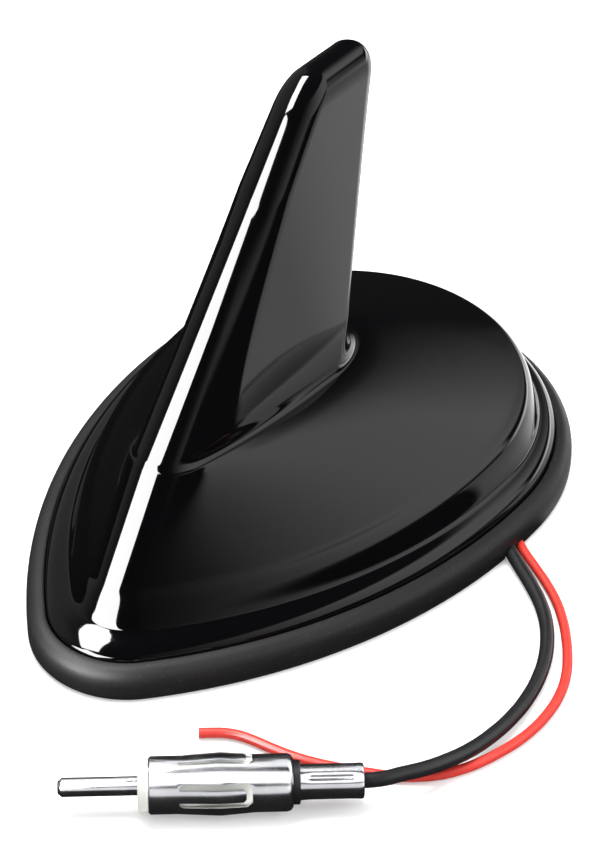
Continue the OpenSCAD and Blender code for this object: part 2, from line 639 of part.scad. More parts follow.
// Rolled shell: necked in at the rear, bulged over the tongues
module plug_shell() {
    r = shell_d / 2;
    z0 = shell_x;
    color("#c9ccd0") in_plug_frame() difference() {
        rotate_extrude($fn = 64) polygon([
            [ferrule_d / 2 + 0.7, z0], [r - 0.7, z0], [r - 0.2, z0 + 0.4], [r, z0 + 1], [r, z0 + shell_l * 0.26],
            [r + shell_bulge, z0 + shell_l * 0.5], [r, z0 + shell_l * 0.8], [r, shell_end - 0.4],
            [r - 0.4, shell_end], [r - shell_t, shell_end], [r - shell_t, z0 + shell_l * 0.8],
            [r + shell_bulge - shell_t, z0 + shell_l * 0.5], [r - shell_t, z0 + shell_l * 0.26],
            [r - shell_t, z0 + 1.2], [ferrule_d / 2 + 0.7, z0 + 1.2]]);
        for (i = [0 : 3]) rotate([0, 0, 90 * i + 20]) shell_window();
    }
}

// Black collar between the ferrule and the shell's neck
module plug_sleeve() {
    color("#161618") in_plug_frame() translate([0, 0, ferrule_l]) difference() {
        cylinder(d = ferrule_d + 1.4, h = shell_x - ferrule_l + 1.2, $fn = 48);
        translate([0, 0, -1]) cylinder(d = ferrule_d, h = 6, $fn = 48);
    }
}

module plug_ferrule() {
    color("#b4b7bb") in_plug_frame() difference() {
        cylinder(d = ferrule_d, h = shell_x + ferrule_deep, $fn = 48);
        translate([0, 0, -1]) cylinder(d = coax_d + seat_gap, h = plug_grip + 1 + seat_gap, $fn = 32);
    }
}

fin_housing();
rim_gasket();
adhesive_pad();
base_plate();
threaded_insert();
housing_screws();
circuit_board();
board_screws();
mast_board();
shield_can();
amplifier_chip();
supply_capacitor();
supply_choke();
coil_core();
loading_coil();
cable_clamp();
clamp_screws();
coax_tail();
power_tail();
coax_lead();
power_lead();
plug_pin();
plug_insulator();
plug_shell();
plug_sleeve();
plug_ferrule();
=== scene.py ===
# %% [markdown]
# # A shark fin roof aerial
# A glossy black moulding with an upright fin sits in a soft rubber rim. A coaxial lead with a
# plug and a thin red power wire come out from under it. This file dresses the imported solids:
# it opens them as a fixed frame, and everything it makes is placed by that frame's sizes.

# %% Load the frame
import json
import math

import bmesh
import bpy
import numpy as np
from mathutils import Matrix, Vector


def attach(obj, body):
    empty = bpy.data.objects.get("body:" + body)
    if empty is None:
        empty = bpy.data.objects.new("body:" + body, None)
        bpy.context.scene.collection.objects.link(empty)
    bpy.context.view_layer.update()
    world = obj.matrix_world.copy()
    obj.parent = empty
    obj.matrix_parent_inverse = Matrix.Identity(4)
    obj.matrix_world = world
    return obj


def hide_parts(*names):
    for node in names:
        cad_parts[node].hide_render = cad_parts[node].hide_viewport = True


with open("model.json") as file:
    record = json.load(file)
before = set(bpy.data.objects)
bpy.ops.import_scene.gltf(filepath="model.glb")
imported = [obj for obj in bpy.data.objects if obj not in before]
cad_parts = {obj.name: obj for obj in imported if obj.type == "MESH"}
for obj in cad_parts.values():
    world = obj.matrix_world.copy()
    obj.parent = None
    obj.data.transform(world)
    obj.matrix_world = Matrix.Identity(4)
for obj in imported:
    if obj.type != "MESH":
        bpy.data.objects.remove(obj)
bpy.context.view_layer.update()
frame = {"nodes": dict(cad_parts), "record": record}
MM = 0.001

# %% [markdown]
# ## The camera
# A camera is a place, a direction and a lens. The photograph was taken from the nose's left,
# well above the roof. The lens is long, because the sides of the fin hardly converge. A
# tracking constraint could aim the camera, but its axes are worked out here from two points
# and a small roll, so that the matrix is set once and nothing has to be evaluated.

# %% Camera
CAMERA_AT = Vector((-278.319, -198.963, 282.131)) * MM
AIM_AT = Vector((-1.249, -4.848, 19.0)) * MM
ROLL = math.radians(0.341)
SENSOR = 36.0
LENS = 94.93
NEAREST = 10 * MM

forward = (AIM_AT - CAMERA_AT).normalized()
level_right = forward.cross(Vector((0, 0, 1))).normalized()
level_up = level_right.cross(forward)
right = level_right * math.cos(ROLL) + level_up * math.sin(ROLL)
up = right.cross(forward)

camera_data = bpy.data.cameras.new("camera")
camera_data.sensor_fit = "VERTICAL"
camera_data.sensor_height = SENSOR
camera_data.lens = LENS
camera_data.clip_start = NEAREST
camera = bpy.data.objects.new("camera", camera_data)
camera.matrix_world = Matrix.Translation(CAMERA_AT) @ Matrix((right, up, -forward)).transposed().to_4x4()
bpy.context.scene.collection.objects.link(camera)
bpy.context.scene.camera = camera
bpy.context.scene.view_settings.view_transform = "Standard"
print("camera", round((CAMERA_AT - AIM_AT).length / MM), "mm from its aim, lens", LENS)

# %% [markdown]
# ## The two cables
# A cable could be a swept section or a curve with a round bevel. The curve is chosen, since
# its line is a short list of points on the roof's plane, and smooth handles join
# them. The curve is then turned into its tube, so that it is a mesh like every other piece.
# The photograph shows both cables from end to end, so nothing is put away: the black one ends
# in its plug, and the red one is cut.

# %% Cable routes
COAX_D = 2.6
POWER_D = 1.8
PLUG_AT = (-58.0, -58.0, 5.3)
PLUG_TURN = math.atan2(0.796, -0.606)
PLUG_GRIP = 8.0
coax_end = (PLUG_AT[0] + PLUG_GRIP * math.cos(PLUG_TURN),
            PLUG_AT[1] + PLUG_GRIP * math.sin(PLUG_TURN), PLUG_AT[2])

COAX_ROUTE = [(10.5, -45, 1.4), (9, -47, 1.4), (7, -49.7, 1.4), (4.1, -53.6, 1.4), (0.9, -57.4, 1.4),
              (-2.8, -60.8, 1.4), (-6.5, -63.3, 1.4), (-10.8, -65.5, 1.4), (-16.1, -67.3, 1.4),
              (-21.8, -68.4, 1.5), (-27.8, -68.8, 1.8), (-33.9, -68.5, 2.3), (-39.8, -67.6, 3),
              (-44.8, -66.2, 3.8), (-49.3, -64.3, 4.5), (-53.1, -62, 5), (-55.8, -60.3, 5.25),
              PLUG_AT, coax_end]
POWER_Z = 1.0
POWER_ROUTE = [(13.65, -45.2), (11.7, -47.8), (9.3, -51.4), (6.3, -55.8), (3.1, -59.7), (-0.5, -63.1),
               (-4.3, -66), (-8.2, -68.5), (-12.9, -70.9), (-17.8, -72.4), (-22.7, -73), (-27.3, -72.9),
               (-31.7, -72.2), (-35.8, -71), (-39.5, -69.6), (-42.9, -67.8), (-45.9, -65.6),
               (-48.5, -62.8), (-50.8, -59.4), (-52.7, -55.4), (-54.5, -51), (-56.1, -46.4),
               (-57, -42.6), (-57.5, -38.8), (-57.8, -35.4), (-58.3, -32.4), (-59.3, -30),
               (-60.5, -28.2), (-61.9, -26.4)]


def metres(route):
    """A route's points in metres."""
    return [Vector(place) * MM for place in route]


def route_length(route):
    """Length in millimetres of the straight steps between a route's points."""
    return sum(math.dist(a, b) for a, b in zip(route, route[1:]))


power_route = [(x, y, POWER_Z) for x, y in POWER_ROUTE]
print("coax", round(route_length(COAX_ROUTE), 1), "mm; wire", round(route_length(power_route), 1), "mm")

# %% Cable pieces
TUBE_ROUND, TUBE_STEPS = 8, 6


def cable(name, route, diameter):
    """A round cable along a route in millimetres: a smooth spline, turned into its tube."""
    curve = bpy.data.curves.new(name + "_line", "CURVE")
    curve.dimensions = "3D"
    curve.bevel_depth = diameter / 2 * MM
    curve.bevel_resolution = TUBE_ROUND
    curve.resolution_u = TUBE_STEPS
    curve.use_fill_caps = True
    spline = curve.splines.new("BEZIER")
    spline.bezier_points.add(len(route) - 1)
    for point, place in zip(spline.bezier_points, metres(route)):
        point.co = place
        point.handle_left_type = point.handle_right_type = "AUTO"
    line = bpy.data.objects.new(name + "_line", curve)
    bpy.context.scene.collection.objects.link(line)
    tube = bpy.data.meshes.new_from_object(line.evaluated_get(bpy.context.evaluated_depsgraph_get()))
    bpy.data.objects.remove(line)
    tube.name = name
    piece = bpy.data.objects.new(name, tube)
    bpy.context.scene.collection.objects.link(piece)
    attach(piece, "root")
    return piece


coax_cable = cable("coax_cable", COAX_ROUTE, COAX_D)
power_wire = cable("power_wire", power_route, POWER_D)
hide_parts("coax_lead")
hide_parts("power_lead")
print("cables with", len(coax_cable.data.polygons), "and", len(power_wire.data.polygons), "faces")

# %% [markdown]
# ## Shader maths as Python
# A material is a small graph. Written as node calls it is hard to read, so one class wraps a
# node's output and turns +, -, * and > into Math nodes. Every other node comes from one
# method that takes the node's type, its settings and the values or links of its sockets.

# %% Links that do arithmetic
DEGREES = 180 / math.pi


class Link:
    """A node's output that can be used in arithmetic."""

    def __init__(self, shader, socket):
        self.shader = shader
        self.socket = socket

    def math(self, operation, *values):
        """A Math node whose inputs are numbers or links."""
        return self.shader.node("ShaderNodeMath", {"operation": operation}, dict(enumerate(values)))

    def step(self, start, end):
        """0 before start and 1 after end, with a smooth rise between."""
        return self.shader.node("ShaderNodeMapRange", {"interpolation_type": "SMOOTHSTEP"},
                                {"Value": self, "From Min": start, "From Max": end})

    def band(self, rise, fall):
        """1 between a soft rise and a soft fall, each a pair of values, and 0 outside."""
        return self.step(*rise) * (1 - self.step(*fall))

    def __add__(self, other):
        return self.math("ADD", self, other)

    def __radd__(self, other):
        return self.math("ADD", other, self)

    def __sub__(self, other):
        return self.math("SUBTRACT", self, other)

    def __rsub__(self, other):
        return self.math("SUBTRACT", other, self)

    def __mul__(self, other):
        return self.math("MULTIPLY", self, other)

    def __rmul__(self, other):
        return self.math("MULTIPLY", other, self)

    def __gt__(self, other):
        return self.math("GREATER_THAN", self, other)


# %% Shader helper
class Shader:
    """A material or a world whose graph is built by calls."""

    def __init__(self, name, kind=bpy.data.materials):
        self.block = kind.new(name)
        self.block.use_nodes = True
        self.tree = self.block.node_tree
        self.tree.nodes.clear()

    def node(self, kind, settings=None, inputs=None, output=0):
        """A node of any type, with its settings set first, then its sockets."""
        node = self.tree.nodes.new(kind)
        for key, value in (settings or {}).items():
            setattr(node, key, value)
        for key, value in (inputs or {}).items():
            if isinstance(value, Link):
                self.tree.links.new(value.socket, node.inputs[key])
            else:
                node.inputs[key].default_value = value
        return Link(self, node.outputs[output]) if node.outputs else None

    def place(self):
        """The point on the piece, in the row's own metres."""
        return self.node("ShaderNodeTexCoord", output="Object")

    def axes(self, vector):
        """The x, y and z of a vector, as three numbers."""
        split = self.node("ShaderNodeSeparateXYZ", None, {0: vector})
        return [Link(self, output) for output in split.socket.node.outputs]

    def azimuth(self, x, y):
        """Degrees round the vertical axis from +X."""
        return self.node("ShaderNodeMath", {"operation": "ARCTAN2"}, {0: y, 1: x}) * DEGREES

    def noise(self, size, detail):
        """Noise from 0 to 1 whose lumps are about size millimetres across."""
        return self.node("ShaderNodeTexNoise", None,
                         {"Vector": self.place(), "Scale": 1 / (size * MM), "Detail": detail})

    def blend(self, factor, a, b):
        """Colour a where factor is 0 and b where it is 1."""
        colours = {0: factor, 6: (*a, 1), 7: (*b, 1)}
        return self.node("ShaderNodeMix", {"data_type": "RGBA"}, colours, output=2)

    def bump(self, height, depth):
        """A normal from a height field whose full range is depth millimetres."""
        return self.node("ShaderNodeBump", None,
                         {"Height": height, "Distance": depth * MM, "Strength": 1.0})

    def surface(self, colour, **sockets):
        """The Principled shader; sockets are named with underscores for spaces."""
        inputs = {key.replace("_", " "): value for key, value in sockets.items()}
        inputs["Base Color"] = colour if isinstance(colour, Link) else (*colour, 1)
        bsdf = self.node("ShaderNodeBsdfPrincipled", None, inputs)
        self.node("ShaderNodeOutputMaterial", None, {"Surface": bsdf})
        return self.block


def wear(piece, material):
    """Gives a piece that material alone."""
    piece.data.materials.clear()
    piece.data.materials.append(material)


# %% [markdown]
# ## Floor and light
# Gloss black shows its surroundings more than itself, so the studio around it matters as
# much as its own colour. It could be built of cards and cloths, but fields of light by
# direction are easier to shape and cost no geometry. A pale sweep fills the low directions
# on the right. A broad soft grey lies higher up over it, with smooth ends on both sides, and
# the rest is dark. The floor carries the sweep on for reflections. For the camera both are
# plain white, rough surfaces get one even ambient light from all round, and the floor still
# takes the object's shadow. Two big softboxes on the left draw the white lines along nose
# and fin. The bright metal of the plug is shot as jewellery is, between three wide boxes of
# its own.

# %% Studio fields
# Places in these fields are pairs of degrees: where a change starts and where it is done.
SWEEP_ON_FLOOR, SWEEP_ON_WALL = (-66, -62), (-50, -46)
SWEEP_FIRST, SWEEP_SECOND, SWEEP_END = (-46, -34), (-35, -20), (-8, 15)
FLOOR_GAIN, WALL_GAIN, SECOND_GAIN = 0.6, 4, 1.4
SWEEP_LIGHT, GREY_LIGHT, BACK_LIGHT, DARK_LIGHT = 0.76, 1.4, 0.27, 0.015
WHITE = (1, 1, 1, 1)


def sweep_field(turn, start, gain):
    """The pale sweep by azimuth: a soft edge at its start, then brighter twice, then its end."""
    brighter = 1 + turn.step(*SWEEP_FIRST) * gain + turn.step(*SWEEP_SECOND) * SECOND_GAIN
    return turn.band(start, SWEEP_END) * brighter * SWEEP_LIGHT


# %% Stage floor
FLOOR_HALF = 1.6
FLOOR_COLOUR = (0.8, 0.8, 0.8, 1)
FLOOR_LIFT, OUTER_LIFT = 0.3, 0.4
# The square of the distance, in square metres, over which the lamps fade and the lift grows.
OUTSKIRTS = (0.1, 1.2)

floor_mesh = bpy.data.meshes.new("floor")
corners = [(x * FLOOR_HALF, y * FLOOR_HALF, 0) for x, y in ((-1, -1), (1, -1), (1, 1), (-1, 1))]
floor_mesh.from_pydata(corners, [], [(0, 1, 2, 3)])
floor = bpy.data.objects.new("floor", floor_mesh)
bpy.context.scene.collection.objects.link(floor)

paper = Shader("floor_paper")
seen = paper.node("ShaderNodeLightPath", output="Is Camera Ray")
in_mirror = paper.node("ShaderNodeLightPath", output="Is Glossy Ray")
floor_x, floor_y, _ = paper.axes(paper.place())
outskirts = (floor_x * floor_x + floor_y * floor_y).step(*OUTSKIRTS)
lift = seen * (FLOOR_LIFT + outskirts * OUTER_LIFT)
sweep = DARK_LIGHT + sweep_field(paper.azimuth(floor_x, floor_y), SWEEP_ON_FLOOR, FLOOR_GAIN)
sheet = paper.node("ShaderNodeBsdfDiffuse", None, {"Color": FLOOR_COLOUR})
lifted = paper.node("ShaderNodeEmission", None, {"Color": WHITE, "Strength": lift})
lit = paper.node("ShaderNodeAddShader", None, {0: sheet, 1: lifted})
mirrored = paper.node("ShaderNodeEmission", None, {"Color": WHITE, "Strength": sweep})
both = paper.node("ShaderNodeMixShader", None, {0: in_mirror, 1: lit, 2: mirrored})
paper.node("ShaderNodeOutputMaterial", None, {"Surface": both})
wear(floor, paper.block)
print("floor", 2 * FLOOR_HALF, "m square")

# %% World
AMBIENT = 0.55
SWEEP_TOP = (2, 11)
GREY_START, GREY_END, GREY_FOOT, GREY_TOP = (-140, -58), (-38, 22), (3, 14), (51, 58)
BACK_START, BACK_END, BACK_TOP = (34, 60), (110, 150), (40, 60)
GAP_START, GAP_TOP, GAP_MIDDLE, GAP_BEND = (-48, -38), (21, 30), -40, 0.0069

world = Shader("studio", bpy.data.worlds)
bpy.context.scene.world = world.block
toward_x, toward_y, toward_z = world.axes(world.node("ShaderNodeTexCoord", output="Generated"))
turn = world.azimuth(toward_x, toward_y)
height = toward_z.math("ARCSINE", toward_z) * DEGREES
off_middle = turn - GAP_MIDDLE
gap = turn.step(*GAP_START) * (1 - (height + off_middle * off_middle * GAP_BEND).step(*GAP_TOP))
sweep = sweep_field(turn, SWEEP_ON_WALL, WALL_GAIN) * (1 - height.step(*SWEEP_TOP))
grey = turn.band(GREY_START, GREY_END) * height.band(GREY_FOOT, GREY_TOP) * (1 - gap)
back = turn.band(BACK_START, BACK_END) * (1 - height.step(*BACK_TOP))
studio = DARK_LIGHT + sweep + grey * GREY_LIGHT + back * BACK_LIGHT
seen = world.node("ShaderNodeLightPath", output="Is Camera Ray")
mirrored = world.node("ShaderNodeLightPath", output="Is Glossy Ray")
strength = seen + mirrored * studio + (1 - seen) * (1 - mirrored) * AMBIENT
sky = world.node("ShaderNodeBackground", None, {"Color": WHITE, "Strength": strength})
world.node("ShaderNodeOutputWorld", None, {"Surface": sky})
print("studio", len(world.tree.nodes), "nodes")

# %% Lamps
LAMP_AIM = Vector((0, 0, 40)) * MM


def lamp(name, mirrored, turn, height, size, watts, distance=1.0, roll=0):
    """A softbox that faces the object from an azimuth and a height in degrees; its size and
    its distance are in metres, and only a mirrored one shows in gloss."""
    data = bpy.data.lights.new(name, "AREA")
    data.shape = "RECTANGLE"
    data.size, data.size_y = size
    data.energy = watts
    box = bpy.data.objects.new(name, data)
    outward = Matrix.Rotation(math.radians(turn), 3, "Z") @ Matrix.Rotation(math.radians(-height), 3, "Y")
    toward = outward @ Vector((1, 0, 0))
    facing = (-toward).to_track_quat("-Z", "Y").to_matrix() @ Matrix.Rotation(math.radians(roll), 3, "Z")
    box.matrix_world = Matrix.Translation(LAMP_AIM + toward * distance) @ facing.to_4x4()
    box.visible_glossy = mirrored
    box.visible_diffuse = not mirrored
    bpy.context.scene.collection.objects.link(box)
    return box


lamp("strip", True, turn=164.4, height=24.5, size=(0.58, 0.66), watts=29, distance=0.9, roll=-15)
lamp("high_box", True, turn=114, height=62, size=(0.8, 0.29), watts=18, roll=-16)
lamp("overhead", False, turn=60, height=75, size=(0.7, 0.7), watts=16)
lamp("fill", False, turn=-70, height=40, size=(0.8, 0.6), watts=6, distance=1.1)
plug_boxes = [lamp("plug_key", True, turn=-143, height=64, size=(1.6, 0.9), watts=6.5),
              lamp("plug_front", True, turn=-143, height=14, size=(1.6, 0.5), watts=2.2),
              lamp("plug_back", True, turn=37, height=50, size=(1.6, 0.8), watts=4.5)]
print(len(bpy.data.lights), "lamps, of which", len(plug_boxes), "light the plug's metal alone")

# %% [markdown]
# ## The housing
# The moulding is one skin of flange, wall, dome, fin and crown. It could be sculpted from a
# box under a Subdivision modifier, but a loft through level lines keeps every size exact.
# Each level line is an outline of four arcs: a round nose, two side arcs and a half-ellipse
# at the rear, and it may slope from nose to rear. The formula is the solid's own, with more
# points, so the gloss is smooth where the solid is coarse. Cutting the corners of the list
# of levels rounds the moulded edges.

# %% Driving sizes in millimetres
BASE_L, BASE_W, NOSE_R, WALL = 132.0, 92.4, 18.9, 2.4
FIN_TOP, KINK_Z, KINK_RUN, RIDGE_IN, RIDGE_Z = 90.0, 34.6, 25.4, 8.9, 8.8
FIN_FOOT_W, FIN_TOP_W, FIN_TOP_L, FIN_REAR_IN = 16.0, 9.0, 23.6, 42.4
SHOULDER_Z, SHOULDER_IN, FLANGE_Z = 18.4, 9.1, 10.0
GASKET_H, LIP_W, GASKET_FLOOR, GASKET_IN = 6.3, 3.5, 3.2, 9.4
SEAT_GAP = 0.1
TRAIL_RUN, CROWN_H = 0.2125, 5.6

rear_r = BASE_W / 2
nose_x = -BASE_L / 2
rear_x = BASE_L / 2
trail_top_x = rear_x - FIN_REAR_IN
ridge_x = nose_x + RIDGE_IN
kink_x = nose_x + KINK_RUN
fin_shoulder_z = FIN_TOP - CROWN_H
lead_run = (trail_top_x - FIN_TOP_L - kink_x) / (fin_shoulder_z - KINK_Z)
print("base", BASE_L, "x", BASE_W, "mm, fin", FIN_TOP, "mm high")


def mix(a, b, t):
    """The value between a and b at the share t."""
    return a + (b - a) * t


def lead_x(z):
    """The ridge up to the kink, and the fin's leading edge above it."""
    if z < KINK_Z:
        return mix(ridge_x, kink_x, (z - RIDGE_Z) / (KINK_Z - RIDGE_Z))
    return kink_x + (z - KINK_Z) * lead_run


def trail_x(z):
    """The fin's trailing edge."""
    return trail_top_x + (z - fin_shoulder_z) * TRAIL_RUN


# %% Kinds of level
FIN_REAR_R, PROW_TOP, PROW_RUN = 4.4, 2.2, 0.257
FIN_NOSE_R, FIN_NOSE_GROW = 3.4, 2.4
TAPER_TOP, TAPER_FOOT, TAPER_CURVE = FIN_TOP - 4, 34, 1.2
FILLET_SIDE, FILLET_REAR, FILLET_NOSE, FILLET_ARC = 2.8, 10.0, 1.6, 17.5
FILLET_RISE_FRONT, FILLET_RISE_REAR = 1.6, 9.5


# A level is [nose x, rear x, width, nose radius, rear arc length, nose z, rear z, flat]
def base_level(inset, front_z, back_z, nose_in=None):
    """A level of the base, moved in from its outline by an inset."""
    return np.array([nose_x + (inset if nose_in is None else nose_in), rear_x - inset,
                     BASE_W - 2 * inset, NOSE_R - inset, rear_r - inset, front_z, back_z, 0.0])


def ridge_level(inset, front_z, back_z):
    """A base level whose nose lies on the ridge."""
    return base_level(inset, front_z, back_z, lead_x(front_z) - nose_x)


def fin_level(front_z, back_z, flare=0.0):
    """A level of the fin; flare goes from 0 on the fin to 1 at the foot of its fillet."""
    height = (front_z + back_z) / 2
    down = max(0.0, (TAPER_TOP - height) / (FIN_TOP - TAPER_FOOT))
    nose, rear = lead_x(front_z), trail_x(back_z)
    width = mix(FIN_TOP_W, FIN_FOOT_W, down ** TAPER_CURVE)
    prow = PROW_TOP + PROW_RUN * (fin_shoulder_z - height)
    flat = rear - FIN_REAR_R - nose - prow
    return np.array([nose, rear + FILLET_REAR * flare, width + 2 * FILLET_SIDE * flare,
                     FIN_NOSE_R + FIN_NOSE_GROW * down + FILLET_NOSE * flare,
                     FIN_REAR_R + FILLET_ARC * flare, front_z, back_z, flat * (1 - flare) ** 2])


# %% Ring of a level
# The nose's arc stays this much smaller than half the width, so that the side arcs exist.
LEAST = 0.05


def level_ring(level, sides):
    """Points round one level's outline, as an array."""
    nose, rear, width, radius, arc, front_z, back_z, flat = level
    quarter = sides // 4
    half_w = width / 2
    r = min(radius, half_w - LEAST)
    centre = rear - arc
    flat = max(0.0, min(flat, centre - nose - half_w - LEAST))
    reach = centre - flat - nose - r
    big = (reach ** 2 + half_w ** 2 - r ** 2) / (2 * (half_w - r))
    off = half_w - big
    turn = math.atan2(-off, -reach)
    bow = big * (turn - math.pi / 2)
    i = np.arange(quarter)
    along = (flat + bow) * i / quarter
    a = i / quarter * math.pi / 2
    b = math.pi / 2 + np.maximum(0, along - flat) / big
    c = mix(turn, math.pi, np.arange(quarter + 1) / quarter)
    half = np.concatenate([
        np.stack([centre + arc * np.cos(a), half_w * np.sin(a)], 1),
        np.stack([centre - np.minimum(along, flat) + big * np.cos(b), off + big * np.sin(b)], 1),
        np.stack([centre - flat - reach + r * np.cos(c), r * np.sin(c)], 1)])
    far = half[-2:0:-1] * (1, -1)
    ring = np.concatenate([half, far])
    z = mix(front_z, back_z, (ring[:, 0] - nose) / (rear - nose))
    return np.column_stack([ring, z])


# %% Flange and wall levels
LIP_IN = LIP_W + SEAT_GAP
flange_levels = [base_level(LIP_IN, GASKET_FLOOR, GASKET_FLOOR),
                 base_level(LIP_IN, GASKET_H, FLANGE_Z - 2.6),
                 base_level(LIP_IN + 0.5, FLANGE_Z - 3, FLANGE_Z - 1.3, LIP_IN + 0.8),
                 base_level(LIP_IN + 1.3, FLANGE_Z - 2.3, FLANGE_Z - 0.4, LIP_IN + 2.1),
                 base_level(LIP_IN + 2.2, FLANGE_Z - 1.8, FLANGE_Z, LIP_IN + 3.7)]
wall_levels = [base_level(LIP_IN + 3.4, FLANGE_Z - 1.3, FLANGE_Z + 0.2, LIP_IN + 5.1),
               ridge_level(SHOULDER_IN - 1.6, FLANGE_Z - 0.6, FLANGE_Z + 1.2),
               ridge_level(SHOULDER_IN - 0.6, SHOULDER_Z - 7.2, SHOULDER_Z - 3),
               ridge_level(SHOULDER_IN, SHOULDER_Z - 6.2, SHOULDER_Z - 1.4),
               ridge_level(SHOULDER_IN + 1, SHOULDER_Z - 5.2, SHOULDER_Z - 0.3)]
shoulder = ridge_level(SHOULDER_IN + 2.6, SHOULDER_Z - 4, SHOULDER_Z + 0.3)
print(len(flange_levels), "levels in the flange and", len(wall_levels), "in the wall")

# %% Dome, fin and crown levels
FOOT_FRONT_Z, FOOT_REAR_Z = KINK_Z - 1.2, SHOULDER_Z + 11.6
DOME_STEPS, FILLET_STEPS, FIN_STEPS, CROWN_STEPS = 21, 12, 16, 10
DOME_CURVE, DOME_WIDTH_CURVE = 0.88, 0.68
CROWN_ARC, CROWN_LEAN, CROWN_SLOPE = 84, 1.05, 0.97
CROWN_IN = np.array([3.2, -4, -6.5, -2.5, -3.3, 0, 0, -4])

foot = fin_level(FOOT_FRONT_Z, FOOT_REAR_Z, 1.0)
dome_levels = []
for t in np.arange(DOME_STEPS + 1) / DOME_STEPS:
    level = mix(foot, shoulder, (1 - t) ** DOME_CURVE)
    level[2] = mix(foot[2], shoulder[2], (1 - t) ** DOME_WIDTH_CURVE)
    front_z = mix(shoulder[5], FOOT_FRONT_Z, t)
    level[0], level[5], level[6] = lead_x(front_z), front_z, mix(shoulder[6], FOOT_REAR_Z, t)
    dome_levels.append(level)

fillet_levels = [fin_level(FOOT_FRONT_Z + FILLET_RISE_FRONT * (1 - math.cos(a)),
                           FOOT_REAR_Z + FILLET_RISE_REAR * (1 - math.cos(a)), 1 - math.sin(a))
                 for a in np.radians(90 * np.arange(1, FILLET_STEPS + 1) / FILLET_STEPS)]

fin_start = fillet_levels[-1]
fin_levels = [fin_level(mix(fin_start[5], fin_shoulder_z, t), mix(fin_start[6], fin_shoulder_z, t))
              for t in np.arange(1, FIN_STEPS + 1) / FIN_STEPS]

crown_lean = CROWN_LEAN * lead_run
crown_up = np.array([crown_lean, TRAIL_RUN, 0, 0, 0, CROWN_SLOPE, 1, TRAIL_RUN - crown_lean])
crown_levels = [fin_levels[-1] + crown_up * CROWN_H * math.sin(a) + CROWN_IN * (1 - math.cos(a))
                for a in np.radians(CROWN_ARC * np.arange(1, CROWN_STEPS + 1) / CROWN_STEPS)]

outer_levels = flange_levels + wall_levels + dome_levels + fillet_levels + fin_levels + crown_levels
print(len(outer_levels), "levels")


# %% Inner levels
INNER_NOSE_R = 0.8


def inside(level, slope):
    """The same level one wall further in; a nose that leans needs more than one wall."""
    inner = level + np.array([slope, -1, -2, -1, -1, -1, -1, 0]) * WALL
    inner[3] = max(INNER_NOSE_R, inner[3])
    return inner


inner_levels = ([inside(level, 1) for level in (flange_levels[0], flange_levels[1], flange_levels[4])]
                + [inside(level, 1.2) for level in (wall_levels[1], wall_levels[3])]
                + [inside(level, 1.3) for level in dome_levels[::3] + fillet_levels + fin_levels[:-2:2]])
inner_levels[0][5] = inner_levels[0][6] = GASKET_FLOOR


def rounded(levels, times):
    """Cuts the corners of a list of levels, which rounds its edges."""
    for _ in range(times):
        inner = [step for a, b in zip(levels, levels[1:]) for step in (mix(a, b, 0.25), mix(a, b, 0.75))]
        levels = [levels[0]] + inner + [levels[-1]]
    return levels


# %% Mesh helpers
SHARP = math.radians(32)
SAME_PLACE = 1e-7


def make_piece(name, points, faces):
    """A smooth-shaded piece from points in millimetres, with its creases kept sharp."""
    mesh = bpy.data.meshes.new(name)
    mesh.from_pydata([tuple(p) for p in np.asarray(points) * MM], [], faces)
    piece = bpy.data.objects.new(name, mesh)
    bpy.context.scene.collection.objects.link(piece)
    settle(piece)
    return piece


def settle(piece):
    """Points the faces outwards, shades them smooth and marks the creases."""
    form = bmesh.new()
    form.from_mesh(piece.data)
    bmesh.ops.remove_doubles(form, verts=form.verts, dist=SAME_PLACE)
    bmesh.ops.recalc_face_normals(form, faces=form.faces)
    for face in form.faces:
        face.smooth = True
    for edge in form.edges:
        edge.smooth = not (edge.is_manifold and edge.calc_face_angle(0) > SHARP)
    form.to_mesh(piece.data)
    form.free()


def loft(rings, loop=False):
    """Points and faces of a skin over rings; the ends of an open skin are closed to a point."""
    n = len(rings[0])
    points = [p for ring in rings for p in ring]
    faces = []
    for k in range(len(rings) if loop else len(rings) - 1):
        low, high = k * n, (k + 1) % len(rings) * n
        for i in range(n):
            j = (i + 1) % n
            faces.append((low + i, low + j, high + j, high + i))
    for end in () if loop else (0, len(rings) - 1):
        points.append(np.mean(rings[end], axis=0))
        faces += [(end * n + i, end * n + (i + 1) % n, len(points) - 1) for i in range(n)]
    return points, faces


# %% Housing piece
HOUSING_SIDES = 240
CAP_RINGS = (0.85, 0.65, 0.42, 0.2)
CAP_RISE = 0.12

outer_rings = [level_ring(level, HOUSING_SIDES) for level in rounded(outer_levels, 2)]
top = outer_rings[-1]
middle = top.mean(axis=0)
for share in CAP_RINGS:
    outer_rings.append(middle + (top - middle) * share + np.array([0, 0, CAP_RISE * (1 - share ** 2)]))
inner_rings = [level_ring(level, HOUSING_SIDES) for level in inner_levels]
housing = make_piece("housing", *loft(inner_rings[::-1] + outer_rings))
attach(housing, "root")
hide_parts("fin_housing")
print("housing", len(housing.data.polygons), "faces")

# %% [markdown]
# ## Gloss black plastic
# Polished moulded plastic is nearly black and mirror-smooth, with a faint waviness from the
# mould. One dark colour with a low roughness would do for a start. Very shallow, wide noise
# bends the reflections a little, and a second noise varies the roughness as wiping does.

# %% Gloss black
gloss = Shader("gloss_black")
haze = gloss.noise(9, 3)
ripple = gloss.noise(16, 1)
gloss.surface((0.0018, 0.0018, 0.0022), Roughness=0.035 + haze * 0.03, IOR=1.5,
              Normal=gloss.bump(ripple, 0.004))
wear(housing, gloss.block)
print("gloss black", len(gloss.tree.nodes), "nodes")

